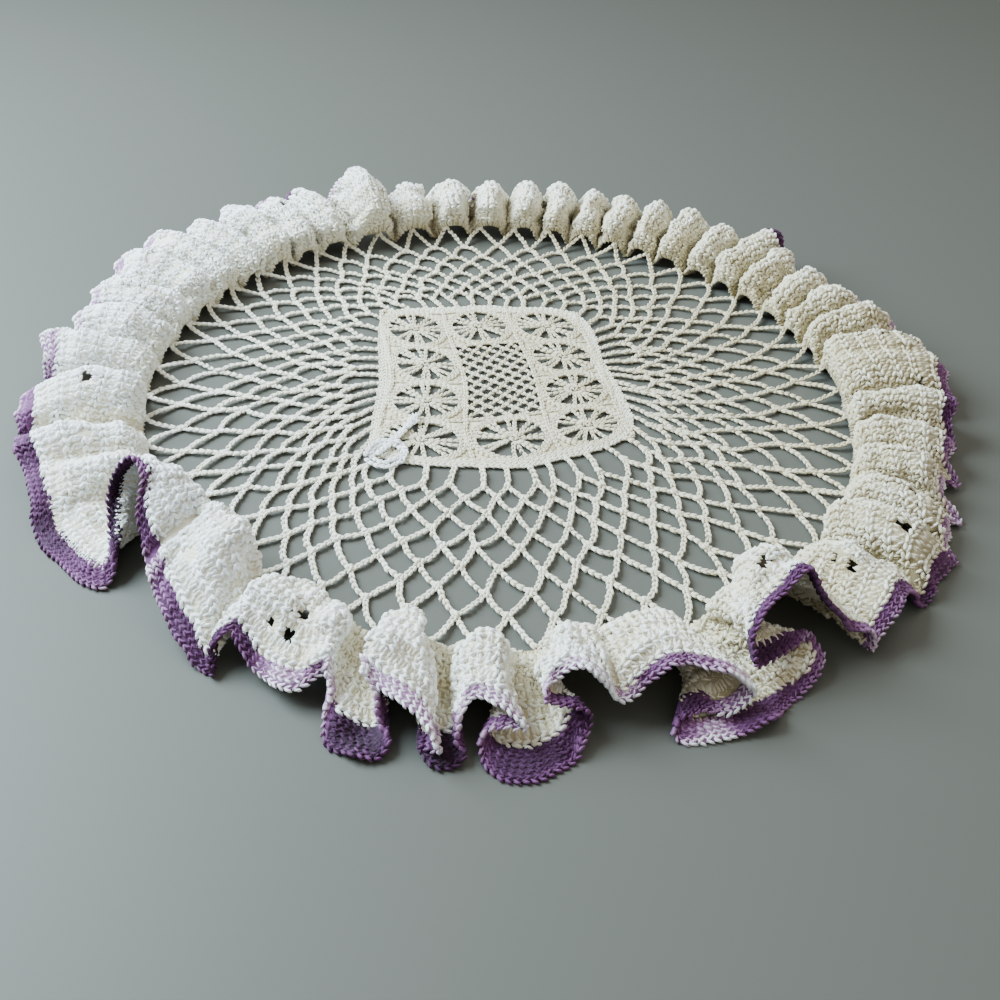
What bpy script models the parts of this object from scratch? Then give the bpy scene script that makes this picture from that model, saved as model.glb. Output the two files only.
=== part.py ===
# A round crochet doily: a flat lace net round an oblong flower panel, a deep ruffle worked on
# its rim, and a narrow edging in a second yarn along the ruffle's free edge.
# The origin is on the table, under the middle of the net. +Z is up and -Y is the front.

import math
from collections import namedtuple

import bpy
import numpy as np

MM = 0.001

RIM_RADIUS = 151 * MM
NET_THICK = 2 * MM
STRAND = 2.6 * MM
RIM_BAND = 2.4 * MM

# The net has LOOPS chain loops in each round. Its first round stands off the panel by FIRST_ROUND,
# as a share of the way to the rim, and the rounds after it widen by ROUND_GROWTH.
LOOPS = 36
ROUNDS = 6
FIRST_ROUND = 0.17
ROUND_GROWTH = 1.15

# The flower panel: 3 by 4 blocks, of which the two middle ones are a fine close mesh.
PANEL_CENTRE = (-3 * MM, 17 * MM)
PANEL_TURN = math.radians(13)
BLOCK_WIDE = 32 * MM
BLOCK_DEEP = 30 * MM
COLUMNS = 3
ROWS = 4
HALF_WIDE = COLUMNS * BLOCK_WIDE / 2
HALF_DEEP = ROWS * BLOCK_DEEP / 2
MIDDLE_BLOCKS = ((1, 1), (1, 2))
PANEL_BORDER = 3 * MM
CORNER_POWER = 7
PANEL_SAG = 3.5 * MM
PETALS = 8
PETAL_FROM = 3.4 * MM
PETAL_WIDEST = 9 * MM
PETAL_TO = 12.4 * MM
PETAL_WIDTH = 4.4 * MM

# How far each corner of the panel is pulled out of square: which corner, then the pull across and along.
Pull = namedtuple("Pull", "right back across along")
PULLS = (
    Pull(-1, -1, -12 * MM, 6 * MM),
    Pull(1, -1, 2 * MM, 10 * MM),
    Pull(1, 1, 1 * MM, -9 * MM),
    Pull(-1, 1, 4 * MM, 0),
)

# The ruffle's cloth. Across it, the root is 0 and the free edge is 1.
CLOTH_THICK = 1.5 * MM
EDGING_THICK = 1.5 * MM
PIECE_GAP = 0.3 * MM
EDGING_FROM = 0.92
EDGING_GAP = 0.011
RUFFLE_CELLS = 4
STEP_ALONG = 8 * MM
SHOULDER_OUT = 25 * MM
SHOULDER_DRAW_IN = 0.75
SHOULDER_SWING = 0.4
PLUMPNESS = 0.1
CREST_SHARE = 0.22
CREST_SIDE = 0.92
VALLEY_RISE = 3 * MM
VALLEY_LIFT = 2 * MM

# One row for each crest of the ruffle, anticlockwise from the left: where it leaves the rim (degrees),
# how high its shoulder stands (mm), the direction of its free edge (degrees), and that edge's radius
# and height (mm). Then the radius that the edge reaches in the valley after the crest, or 0 where the
# cloth runs straight on to the next row.
Fold = namedtuple("Fold", "root rise edge radius height valley")
FOLDS = (
    Fold(-178, 20, -178, 190, 25, 192),
    Fold(-169, 19, -168, 204, 16, 199),
    Fold(-158, 18, -158, 197, 15, 0),
    Fold(-151, 14, -151.5, 196, 8, 0),
    Fold(-148, 4, -146, 199, 3, 0),
    Fold(-145, 4, -139.5, 196, 2, 0),
    Fold(-143, 5, -134.7, 191, 2, 0),
    Fold(-141.7, 12, -136.4, 182, 9, 0),
    Fold(-140.3, 22, -141.2, 175, 22, 0),
    Fold(-139, 28, -141, 168, 36, 0),
    Fold(-137, 30, -138, 165, 38, 0),
    Fold(-134, 30, -132.8, 176, 23, 0),
    Fold(-130, 30, -129.9, 181, 16, 0),
    Fold(-126.5, 27, -126.2, 185, 10, 0),
    Fold(-123.2, 24, -121.6, 190, 5, 0),
    Fold(-121, 14, -118.6, 193, 2, 0),
    Fold(-119.6, 9, -117, 193, 2, 0),
    Fold(-118.2, 15, -118.4, 187, 9, 0),
    Fold(-116.8, 20, -117, 182, 16, 0),
    Fold(-115.3, 20, -115, 185, 11, 0),
    Fold(-113.5, 19, -112, 188, 5, 0),
    Fold(-111, 19, -108.5, 189, 5, 0),
    Fold(-109, 19, -106.5, 185, 10, 0),
    Fold(-107.5, 17, -105.6, 181, 14, 0),
    Fold(-106, 6, -104.3, 194, 4, 0),
    Fold(-105, 3, -102.5, 203, 2, 0),
    Fold(-104, 3, -99, 204, 2, 0),
    Fold(-103, 4, -97.5, 196, 4, 0),
    Fold(-101.5, 22, -102, 184, 20, 0),
    Fold(-99, 20, -96.8, 191, 15, 0),
    Fold(-97.4, 13, -93, 201, 7.5, 0),
    Fold(-96.2, 5, -95.2, 196, 3, 0),
    Fold(-95, 3, -93, 203, 2, 0),
    Fold(-94, 4, -90.6, 198, 3, 0),
    Fold(-92.5, 16, -92, 190, 12, 0),
    Fold(-90.5, 19, -90.3, 185, 17, 0),
    Fold(-89, 18, -87.8, 188, 16, 0),
    Fold(-87.8, 13, -85.5, 192, 9, 0),
    Fold(-87.2, 9, -87.6, 190, 8, 0),
    Fold(-86.6, 5.5, -89.3, 194, 4.5, 0),
    Fold(-86.2, 4, -89, 201, 2, 0),
    Fold(-85.7, 3, -86, 206, 2, 0),
    Fold(-84.7, 3, -81.5, 200, 2, 0),
    Fold(-83.8, 6, -80, 193, 5, 0),
    Fold(-83.1, 9, -79.6, 188, 9, 0),
    Fold(-82.3, 13, -82, 185, 11.5, 0),
    Fold(-81.6, 16, -84.3, 185, 14, 0),
    Fold(-80.6, 20, -83.4, 181, 19, 0),
    Fold(-79.3, 22, -80.3, 178, 22, 0),
    Fold(-78, 20, -77.8, 181, 17, 0),
    Fold(-76.6, 14, -75.4, 185, 11, 0),
    Fold(-75, 18, -73.2, 182, 17, 0),
    Fold(-72, 21, -69.5, 181, 21, 0),
    Fold(-69, 20, -66, 187, 18, 0),
    Fold(-67.3, 13, -62.8, 193, 11, 0),
    Fold(-66.6, 10, -65.5, 194, 7, 0),
    Fold(-66, 9, -67.8, 190, 8, 0),
    Fold(-65.4, 6, -70.2, 190.5, 5.5, 0),
    Fold(-64.8, 3, -71, 196.5, 2, 0),
    Fold(-64.3, 3, -67, 199, 2, 0),
    Fold(-63.5, 3, -63.5, 200, 2, 0),
    Fold(-62.2, 4, -57, 194, 2, 0),
    Fold(-61.8, 7, -51.8, 187, 5, 0),
    Fold(-61, 12, -52.8, 181, 11.5, 0),
    Fold(-60.2, 13, -56.5, 182.5, 11, 0),
    Fold(-59.4, 16, -60.2, 184, 11.5, 0),
    Fold(-58, 22, -60.8, 179, 21, 0),
    Fold(-56, 25, -56.5, 173, 28, 0),
    Fold(-53.5, 27, -52.3, 172, 33, 0),
    Fold(-51.5, 24, -51, 178, 28, 0),
    Fold(-50, 18, -50.2, 185, 20, 0),
    Fold(-48.5, 13, -48.3, 190, 13, 0),
    Fold(-47.5, 9, -46, 193, 9, 0),
    Fold(-46.5, 4, -47, 194, 2, 0),
    Fold(-44, 14, -43, 193, 10, 0),
    Fold(-39, 18, -39, 190, 11, 196),
    Fold(-31, 20, -31, 199, 13, 198),
    Fold(-23, 20, -23, 195, 15, 196),
    Fold(-16, 20, -16, 187, 17, 194),
    Fold(-9, 20, -9, 190, 18, 194),
    Fold(-2, 21, -2, 193, 18, 197),
    Fold(5, 21, 5, 199, 19, 0),
    Fold(13, 23, 13, 202, 25, 199),
    Fold(20, 23, 20, 196, 25, 195),
    Fold(26, 22, 26, 188, 24, 190),
    Fold(32, 22, 32, 180, 24, 188),
    Fold(39, 23, 39, 179, 25, 189),
    Fold(45, 24, 45, 189, 28, 190),
    Fold(51, 23, 51, 181, 24, 188),
    Fold(58, 24, 58, 183, 27, 188),
    Fold(64, 24, 64, 179, 26, 186),
    Fold(70, 23, 70, 178, 23, 186),
    Fold(76, 24, 76, 178, 23, 186),
    Fold(82, 24, 82, 179, 23, 186),
    Fold(88, 24, 88, 178, 22, 186),
    Fold(95, 24, 95, 177, 22, 186),
    Fold(102, 25, 102, 178, 25, 186),
    Fold(110, 23, 110, 176, 21, 186),
    Fold(118.6, 30, 119.2, 177, 38, 191),
    Fold(127.5, 25, 130, 187, 28, 191),
    Fold(133, 24, 134, 186, 28, 191),
    Fold(139, 24, 140, 189, 29, 193),
    Fold(146, 24, 147, 191, 28, 195),
    Fold(153, 24, 153, 199, 28, 197),
    Fold(160, 23, 160, 197, 27, 196),
    Fold(167, 22, 167, 193, 25, 193),
    Fold(174, 21, 174, 187, 23, 192),
)

Section = namedtuple("Section", "root rise edge radius height")


def polar(radius, degrees):
    angle = math.radians(degrees)
    return np.array([radius * math.cos(angle), radius * math.sin(angle)])


def from_panel(x, y):
    """A point given in the flower panel's own directions, on the table. Between its sides it sags."""
    y -= PANEL_SAG * (1 - min(abs(x) / HALF_WIDE, 1) ** 2)
    rightward, backward = x / HALF_WIDE, y / HALF_DEEP
    for pull in PULLS:
        share = min(max(pull.right * rightward, 0), 1) * min(max(pull.back * backward, 0), 1)
        x += pull.across * share
        y += pull.along * share
    along, up = math.cos(PANEL_TURN), math.sin(PANEL_TURN)
    return np.array([PANEL_CENTRE[0] + x * along - y * up, PANEL_CENTRE[1] + x * up + y * along])


def panel_edge(degrees):
    """The panel's outline, an oblong with round corners, in this direction from its middle."""
    angle = math.radians(degrees) - PANEL_TURN
    across = abs(math.cos(angle) / (HALF_WIDE + PANEL_BORDER)) ** CORNER_POWER
    along = abs(math.sin(angle) / (HALF_DEEP + PANEL_BORDER)) ** CORNER_POWER
    reach = (across + along) ** (-1 / CORNER_POWER)
    return from_panel(reach * math.cos(angle), reach * math.sin(angle))


def net_point(degrees, share):
    """A point of the net: share 0 is on the flower panel's outline and 1 is on the rim."""
    return panel_edge(degrees) * (1 - share) + polar(RIM_RADIUS - RIM_BAND / 2, degrees) * share


def round_share(number):
    """How far out a round of loops lies. Round 0 is the panel's outline and the last is the rim."""
    if number == 0:
        return 0
    return FIRST_ROUND + (1 - FIRST_ROUND) * ((number - 1) / (ROUNDS - 1)) ** ROUND_GROWTH


def joint(number, place):
    """Where two chains are joined: every second round is half a loop further on."""
    return net_point(360 * place / LOOPS, round_share(number))


def shrunk(corners, margin):
    """The gap inside a cell whose sides are the middle lines of its strands."""
    corners = np.array(corners)
    following = np.roll(corners, -1, axis=0)
    area = abs(np.sum(corners[:, 0] * following[:, 1] - corners[:, 1] * following[:, 0])) / 2
    around = np.linalg.norm(following - corners, axis=1).sum()
    middle = corners.mean(axis=0)
    return middle + (corners - middle) * (1 - margin * around / (2 * area))


def net_gaps():
    gaps = []
    for loop in range(LOOPS):
        first = [joint(0, loop), joint(0, loop + 1), joint(1, loop + 1), joint(2, loop + 0.5), joint(1, loop)]
        gaps.append(shrunk(first, STRAND / 2))
        for number in range(1, ROUNDS - 1):
            place = loop + 0.5 * ((number + 1) % 2)
            cell = [joint(number, place), joint(number + 1, place + 0.5)]
            cell += [joint(number + 2, place), joint(number + 1, place - 0.5)]
            gaps.append(shrunk(cell, STRAND / 2))
        place = loop + 0.5 * (ROUNDS % 2)
        last = [joint(ROUNDS - 1, place), joint(ROUNDS, place + 0.5), joint(ROUNDS, place - 0.5)]
        gaps.append(shrunk(last, STRAND / 2))
    return gaps


def flower_gaps(x, y):
    """The slits between a flower's petals, longer towards the corners of its block."""
    gaps = []
    for petal in range(PETALS):
        angle = 2 * math.pi * (petal + 0.5) / PETALS
        stretch = 1.12 if petal % 2 else 1
        out = np.array([math.cos(angle), math.sin(angle)])
        side = np.array([-out[1], out[0]]) * PETAL_WIDTH / 2
        middle = np.array([x, y])
        shape = (
            middle + out * PETAL_FROM,
            middle + out * PETAL_WIDEST * stretch - side,
            middle + out * PETAL_TO * stretch,
            middle + out * PETAL_WIDEST * stretch + side,
        )
        gaps.append([from_panel(*point) for point in shape])
    return gaps


def panel_gaps():
    gaps = []
    for column in range(COLUMNS):
        for row in range(ROWS):
            if (column, row) not in MIDDLE_BLOCKS:
                x = (column - (COLUMNS - 1) / 2) * BLOCK_WIDE
                y = (row - (ROWS - 1) / 2) * BLOCK_DEEP
                gaps += flower_gaps(x, y)
    return gaps


def sections():
    """The crests and the valleys between them, in order, in metres and degrees.

    Between two valleys a crest is round: it has a lower section on each side, CREST_SHARE of the way
    to the next crest.
    """
    found = []
    turn = Fold(360, 0, 360, 0, 0, 0)
    folds = [Fold(*np.subtract(FOLDS[-1], turn)), *FOLDS, Fold(*np.add(FOLDS[0], turn))]
    for before, fold, after in zip(folds, folds[1:], folds[2:]):
        sides = [(before, CREST_SHARE), (fold, 0), (after, CREST_SHARE)]
        for other, share in sides if before.valley and fold.valley else [(fold, 0)]:
            tall = CREST_SIDE * MM if share else MM
            root = fold.root + share * (other.root - fold.root)
            edge = fold.edge + share * (other.edge - fold.edge)
            found.append(Section(root, fold.rise * tall, edge, fold.radius * MM, fold.height * tall))
        if fold.valley:
            root, edge = (fold.root + after.root) / 2, (fold.edge + after.edge) / 2
            found.append(Section(root, VALLEY_RISE, edge, fold.valley * MM, VALLEY_LIFT))
    return np.array(found)


def heading(before, here, after):
    """The slope to pass through a row with, level where a value turns back, so that none overshoots."""
    back, ahead = here - before, after - here
    onward = back * ahead > 0
    return np.where(onward, 2 * back * ahead / np.where(onward, back + ahead, 1), 0)


def smooth_through(before, start, end, after, share):
    """A smooth run from one row to the next that heads the way its neighbours lie."""
    leaving, arriving = heading(before, start, end), heading(start, end, after)
    ease = share * share * (3 - 2 * share)
    bend = share * (1 - share) * (leaving * (1 - share) - arriving * share)
    return start + (end - start) * ease + bend


def stations():
    """The ruffle's cross-sections, one about every STEP_ALONG of its free edge."""
    rows = sections()
    turn = np.array([360, 0, 360, 0, 0])
    around = np.vstack([rows[-1] - turn, rows, rows[:2] + turn])
    found = []
    for index in range(len(rows)):
        before, start, end, after = around[index : index + 4]
        ends = [np.append(polar(row[3], row[2]), row[4]) for row in (start, end)]
        steps = max(1, round(np.linalg.norm(ends[1] - ends[0]) / STEP_ALONG))
        for step in range(steps):
            share = step / steps
            section = smooth_through(before, start, end, after, share)
            section[2] += PLUMPNESS * math.sin(2 * math.pi * share) * (end[2] - start[2])
            found.append(section)
    return [Section(*section) for section in found]


def cloth_point(section, across):
    """A point on the middle of the ruffle's cloth: it leaves the rim, goes over a shoulder and falls."""
    root_radius = RIM_RADIUS + PIECE_GAP
    shoulder_radius = root_radius + SHOULDER_OUT - SHOULDER_DRAW_IN * section.rise
    swing = section.edge - section.root
    at_root = np.array([root_radius, section.root, CLOTH_THICK / 2])
    at_shoulder = np.array([shoulder_radius, section.root + SHOULDER_SWING * swing, section.rise])
    at_edge = np.array([section.radius, section.edge, section.height])
    radius, angle, height = (
        at_root * (1 - across) * (1 - 2 * across)
        + at_shoulder * 4 * across * (1 - across)
        + at_edge * across * (2 * across - 1)
    )
    return np.append(polar(max(radius, root_radius), angle), max(height, EDGING_THICK / 2))


def cloth():
    """The middle of the ruffle's cloth and the way it faces, as rows round it of points across it."""
    shares = [*np.linspace(0, EDGING_FROM - EDGING_GAP, RUFFLE_CELLS + 1), EDGING_FROM, 1]
    grid = np.array([[cloth_point(section, share) for share in shares] for section in stations()])
    along = np.roll(grid, -1, axis=0) - np.roll(grid, 1, axis=0)
    over = np.gradient(grid, shares, axis=1)
    facing = np.cross(over, along)
    facing /= np.linalg.norm(facing, axis=2, keepdims=True)
    facing[:, 0] = (0, 0, 1)
    facing[:, RUFFLE_CELLS + 1] = facing[:, RUFFLE_CELLS]
    return grid, facing


def ribbon(name, grid, facing, thick, material):
    """A closed strip of cloth that runs all the way round the doily."""
    around, deep = grid.shape[:2]
    upper = grid + facing * thick / 2
    lower = grid - facing * thick / 2
    lower[:, :, 2] = np.maximum(lower[:, :, 2], 0)
    points = [tuple(point) for side in (upper, lower) for row in side for point in row]

    def point(side, place, across):
        return (side * around + place % around) * deep + across

    faces = []
    for place in range(around):
        for across in range(deep - 1):
            here, out = (place, across), (place, across + 1)
            along, beyond = (place + 1, across), (place + 1, across + 1)
            for half in ((here, out, beyond), (here, beyond, along)):
                faces.append([point(0, *corner) for corner in half])
                faces.append([point(1, *corner) for corner in reversed(half)])
        for across, order in ((0, 1), (deep - 1, -1)):
            wall = [point(0, place, across), point(0, place + 1, across)]
            wall += [point(1, place + 1, across), point(1, place, across)]
            for half in ((0, 1, 2), (0, 2, 3)):
                faces.append([wall[corner] for corner in half][::order])
    mesh = bpy.data.meshes.new(name)
    mesh.from_pydata(points, [], faces)
    mesh.materials.append(material)
    mesh.shade_smooth()
    ribbon_object = bpy.data.objects.new(name, mesh)
    bpy.context.collection.objects.link(ribbon_object)
    return ribbon_object


def lace_sheet(name, outline, gaps, material):
    """A flat sheet with gaps cut through it, resting on the table."""
    curve = bpy.data.curves.new(name, "CURVE")
    curve.dimensions = "2D"
    curve.fill_mode = "BOTH"
    curve.extrude = NET_THICK / 2
    for loop in [outline, *gaps]:
        spline = curve.splines.new("POLY")
        spline.points.add(len(loop) - 1)
        for point, (x, y) in zip(spline.points, loop):
            point.co = (x, y, 0, 1)
        spline.use_cyclic_u = True
    curve.materials.append(material)
    sheet = bpy.data.objects.new(name, curve)
    sheet.location.z = NET_THICK / 2
    bpy.context.collection.objects.link(sheet)
    return sheet


def yarn(name, colour, roughness):
    material = bpy.data.materials.new(name)
    material.use_nodes = True
    shader = material.node_tree.nodes["Principled BSDF"]
    shader.inputs["Base Color"].default_value = (*colour, 1)
    shader.inputs["Roughness"].default_value = roughness
    shader.inputs["Metallic"].default_value = 0
    return material


def build():
    for old in list(bpy.data.objects):
        bpy.data.objects.remove(old)
    rim = [polar(RIM_RADIUS, 360 * step / (2 * LOOPS)) for step in range(2 * LOOPS)]
    lace_sheet("net", rim, net_gaps() + panel_gaps(), yarn("net_yarn", (0.80, 0.78, 0.68), 0.8))
    grid, facing = cloth()
    end = RUFFLE_CELLS + 1
    white = yarn("ruffle_yarn", (0.86, 0.85, 0.79), 0.8)
    purple = yarn("edging_yarn", (0.30, 0.14, 0.44), 0.75)
    ribbon("ruffle", grid[:, :end], facing[:, :end], CLOTH_THICK, white)
    ribbon("edging", grid[:, end:], facing[:, end:], EDGING_THICK, purple)


build()
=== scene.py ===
import math
from collections import namedtuple

import bpy
import numpy as np
from mathutils import Matrix


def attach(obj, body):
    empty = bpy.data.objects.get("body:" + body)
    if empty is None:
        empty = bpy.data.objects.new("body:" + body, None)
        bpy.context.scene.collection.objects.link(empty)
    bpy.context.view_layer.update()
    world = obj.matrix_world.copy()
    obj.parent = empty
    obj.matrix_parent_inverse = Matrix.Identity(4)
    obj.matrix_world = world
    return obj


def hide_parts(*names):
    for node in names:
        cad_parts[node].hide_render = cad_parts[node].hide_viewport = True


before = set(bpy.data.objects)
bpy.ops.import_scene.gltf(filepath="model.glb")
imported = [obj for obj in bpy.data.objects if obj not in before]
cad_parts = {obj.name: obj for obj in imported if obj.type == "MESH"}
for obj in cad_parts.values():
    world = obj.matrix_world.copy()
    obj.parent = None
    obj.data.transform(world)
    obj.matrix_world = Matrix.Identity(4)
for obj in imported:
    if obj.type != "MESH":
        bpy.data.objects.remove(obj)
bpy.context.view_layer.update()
mm = 0.001
chance = np.random.default_rng(11)


def deselectAll():
    for item in list(bpy.context.selected_objects):
        item.select_set(False)


def setInputs(node, values):
    for key, value in values.items():
        node.inputs[key].default_value = value


view = {
    "cameraAt": (2.4 * mm, -430.8 * mm, 295.3 * mm),
    "lookDown": math.radians(39.26),
    "tilt": math.radians(3.95),
    "lens": 42.8,
    "sensor": 36,  # mm, as the lens
    "nearest": 10 * mm,
    "floorSize": 6.0,
    "floor": {"Base Color": (0.088, 0.091, 0.080, 1), "Roughness": 0.6},
    "room": {"Color": (0.90, 0.92, 0.88, 1), "Strength": 0.42},
}


def addCamera():
    deselectAll()
    bpy.ops.object.camera_add(location=view["cameraAt"])
    camera = bpy.context.object
    turn = Matrix.Rotation(math.pi / 2 - view["lookDown"], 4, "X") @ Matrix.Rotation(view["tilt"], 4, "Z")
    camera.rotation_euler = turn.to_euler()
    camera.data.lens = view["lens"]
    camera.data.sensor_width = view["sensor"]
    camera.data.clip_start = view["nearest"]
    bpy.context.scene.camera = camera


def addFloor():
    deselectAll()
    bpy.ops.mesh.primitive_plane_add(size=view["floorSize"])
    floor = bpy.context.object
    floor.name = "floor"
    surface = bpy.data.materials.new("paleFloor")
    surface.use_nodes = True
    setInputs(surface.node_tree.nodes["Principled BSDF"], view["floor"])
    floor.data.materials.append(surface)


# Each lamp faces the doily's middle: where it stands, how wide it is, its power and its colour.
Lamp = namedtuple("Lamp", "name place size power colour")
lamps = (
    Lamp("windowLeft", (-0.64, 0.12, 0.56), 0.6, 34.0, (0.74, 0.91, 1.0)),
    Lamp("ceiling", (0.25, 0.55, 1.25), 1.2, 6.0, (1.0, 0.94, 0.78)),
    Lamp("roomRight", (0.9, -0.7, 0.7), 1.0, 2.5, (1.0, 0.90, 0.74)),
)


def addLights():
    for lamp in lamps:
        deselectAll()
        bpy.ops.object.light_add(type="AREA", location=lamp.place)
        light = bpy.context.object
        light.name = lamp.name
        light.data.size = lamp.size
        light.data.energy = lamp.power
        light.data.color = lamp.colour
        light.rotation_euler = (-light.location).to_track_quat("-Z", "Y").to_euler()
    world = bpy.data.worlds.new("room")
    world.use_nodes = True
    setInputs(world.node_tree.nodes["Background"], view["room"])
    bpy.context.scene.world = world


addCamera()
addFloor()
addLights()
print("camera, floor and lights are set")


yarn = {
    "fibres": {"Scale": 2200, "Detail": 3},
    "soiling": {"Scale": 55, "Detail": 4},
    "relief": {"Strength": 0.6, "Distance": 0.25 * mm},
    "surface": {"Sheen Roughness": 0.6, "Specular IOR Level": 0.3},
}


def newSocket(group, name, kind, output=False, value=None):
    socket = group.interface.new_socket(name, in_out="OUTPUT" if output else "INPUT", socket_type=kind)
    if value is not None:
        socket.default_value = value


def mathNode(tree, operation, first, second=None):
    node = tree.nodes.new("ShaderNodeMath")
    node.operation = operation
    for place, value in enumerate((first, second)):
        if isinstance(value, (int, float)):
            node.inputs[place].default_value = value
        elif value is not None:
            tree.links.new(value, node.inputs[place])
    return node.outputs[0]


def noiseNode(tree, values):
    place = tree.nodes.new("ShaderNodeTexCoord")
    noise = tree.nodes.new("ShaderNodeTexNoise")
    setInputs(noise, values)
    tree.links.new(place.outputs["Object"], noise.inputs["Vector"])
    return noise.outputs[0]


def makePlyGroup():
    # The plies that twist round each strand, with loose fibres over them, as a height.
    group = bpy.data.node_groups.new("yarnPly", "ShaderNodeTree")
    newSocket(group, "Plies", "NodeSocketFloat", value=2.0)
    newSocket(group, "Twist", "NodeSocketFloat", value=2.5)
    newSocket(group, "Fuzz", "NodeSocketFloat", value=0.5)
    newSocket(group, "Height", "NodeSocketFloat", output=True)
    inside = group.nodes.new("NodeGroupInput")
    outside = group.nodes.new("NodeGroupOutput")
    uv = group.nodes.new("ShaderNodeUVMap")
    uv.uv_map = "strand"
    split = group.nodes.new("ShaderNodeSeparateXYZ")
    group.links.new(uv.outputs[0], split.inputs[0])
    across = mathNode(group, "MULTIPLY", split.outputs[0], inside.outputs["Plies"])
    along = mathNode(group, "MULTIPLY", split.outputs[1], inside.outputs["Twist"])
    turn = mathNode(group, "ADD", across, along)
    wave = mathNode(group, "ABSOLUTE", mathNode(group, "SINE", mathNode(group, "MULTIPLY", turn, math.pi)))
    loose = mathNode(group, "MULTIPLY", noiseNode(group, yarn["fibres"]), inside.outputs["Fuzz"])
    group.links.new(mathNode(group, "ADD", wave, loose), outside.inputs["Height"])
    return group


plyGroup = makePlyGroup()


def yarnMaterial(name, attribute, finish):
    # Colour runs along the stops by the piece's own attribute, with soft clouds of soiling over it.
    material = bpy.data.materials.new(name)
    material.use_nodes = True
    tree = material.node_tree
    shader = tree.nodes["Principled BSDF"]
    source = tree.nodes.new("ShaderNodeAttribute")
    source.attribute_name = attribute
    clouds = noiseNode(tree, yarn["soiling"])
    drift = mathNode(tree, "MULTIPLY", mathNode(tree, "SUBTRACT", clouds, 0.5), finish["soiling"])
    ramp = tree.nodes.new("ShaderNodeValToRGB")
    while len(ramp.color_ramp.elements) < len(finish["stops"]):
        ramp.color_ramp.elements.new(0.5)
    for element, (position, colour) in zip(ramp.color_ramp.elements, finish["stops"]):
        element.position = position
        element.color = (*colour, 1)
    tree.links.new(mathNode(tree, "ADD", source.outputs["Fac"], drift), ramp.inputs[0])
    tree.links.new(ramp.outputs[0], shader.inputs["Base Color"])
    plies = tree.nodes.new("ShaderNodeGroup")
    plies.node_tree = plyGroup
    setInputs(plies, finish["ply"])
    bump = tree.nodes.new("ShaderNodeBump")
    setInputs(bump, yarn["relief"])
    tree.links.new(plies.outputs["Height"], bump.inputs["Height"])
    tree.links.new(bump.outputs[0], shader.inputs["Normal"])
    setInputs(shader, {**yarn["surface"], **finish["surface"]})
    return material


whiteYarn = {
    "stops": (
        (0.0, (0.34, 0.28, 0.15)),
        (0.3, (0.67, 0.59, 0.41)),
        (0.6, (0.83, 0.79, 0.66)),
        (0.85, (0.91, 0.92, 0.90)),
        (1.0, (0.95, 0.97, 1.0)),
    ),
    "surface": {"Roughness": 0.85, "Sheen Weight": 0.2},
    "ply": {"Plies": 2.0, "Twist": 2.5, "Fuzz": 0.6},
    "soiling": 0.25,
}
purpleYarn = {
    "stops": (
        (0.0, (0.013, 0.002, 0.013)),
        (0.25, (0.06, 0.012, 0.06)),
        (0.5, (0.16, 0.052, 0.16)),
        (0.72, (0.34, 0.17, 0.34)),
        (0.88, (0.68, 0.54, 0.66)),
        (1.0, (0.90, 0.90, 0.93)),
    ),
    "surface": {"Roughness": 0.75, "Sheen Weight": 0.05},
    "ply": {"Plies": 2.0, "Twist": 2.0, "Fuzz": 0.4},
    "soiling": 0.15,
}
cotton = yarnMaterial("whiteCotton", "tone", whiteYarn)
dyedCotton = yarnMaterial("dyedCotton", "dye", purpleYarn)
print("yarn finishes are made")


strand = {
    "rings": 3,
    "chainSides": 5,
    "clothSides": 4,
    "chainTaper": 0.9,
    "clothTaper": 1.15,
    "taperFrom": 0.2,
    "bow": 0.10,
    "sizeVaries": 0.07,
}


def modelStrand(sides, taper):
    # One loop of yarn as it shows in a stitch: a short bowed strand, thinner where it dips under the next.
    deselectAll()
    bpy.ops.mesh.primitive_uv_sphere_add(
        segments=sides, ring_count=strand["rings"], radius=0.5, rotation=(0, math.pi / 2, 0)
    )
    item = bpy.context.object
    bpy.ops.object.transform_apply(rotation=True)
    for vertex in item.data.vertices:
        vertex.select = abs(vertex.co.x) > strand["taperFrom"]
    bpy.ops.object.mode_set(mode="EDIT")
    bpy.ops.transform.resize(value=(1, taper, taper))
    bpy.ops.mesh.select_all(action="SELECT")
    bpy.ops.mesh.quads_convert_to_tris()
    bpy.ops.object.mode_set(mode="OBJECT")
    for vertex in item.data.vertices:
        vertex.co.z -= strand["bow"] * (4 * vertex.co.x**2)
    mesh = item.data
    points = np.array([vertex.co[:] for vertex in mesh.vertices])
    faces = np.array([polygon.vertices[:] for polygon in mesh.polygons])
    uvs = np.array([corner.uv[:] for corner in mesh.uv_layers[0].data])
    bpy.data.objects.remove(item)
    return points, faces, uvs


chainStrand = modelStrand(strand["chainSides"], strand["chainTaper"])
clothStrand = modelStrand(strand["clothSides"], strand["clothTaper"])


def unit(vectors):
    return vectors / np.maximum(np.linalg.norm(vectors, axis=-1, keepdims=True), 1e-9)


def makeMesh(name, points, faces, material, key, marks):
    mesh = bpy.data.meshes.new(name)
    mesh.from_pydata(points.tolist(), [], faces.tolist())
    mesh.shade_smooth()
    attribute = mesh.attributes.new(key, "FLOAT", "POINT")
    attribute.data.foreach_set("value", marks.astype(np.float32).ravel())
    mesh.uv_layers.new(name="strand")
    mesh.materials.append(material)
    item = bpy.data.objects.new(name, mesh)
    bpy.context.collection.objects.link(item)
    return item


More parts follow.
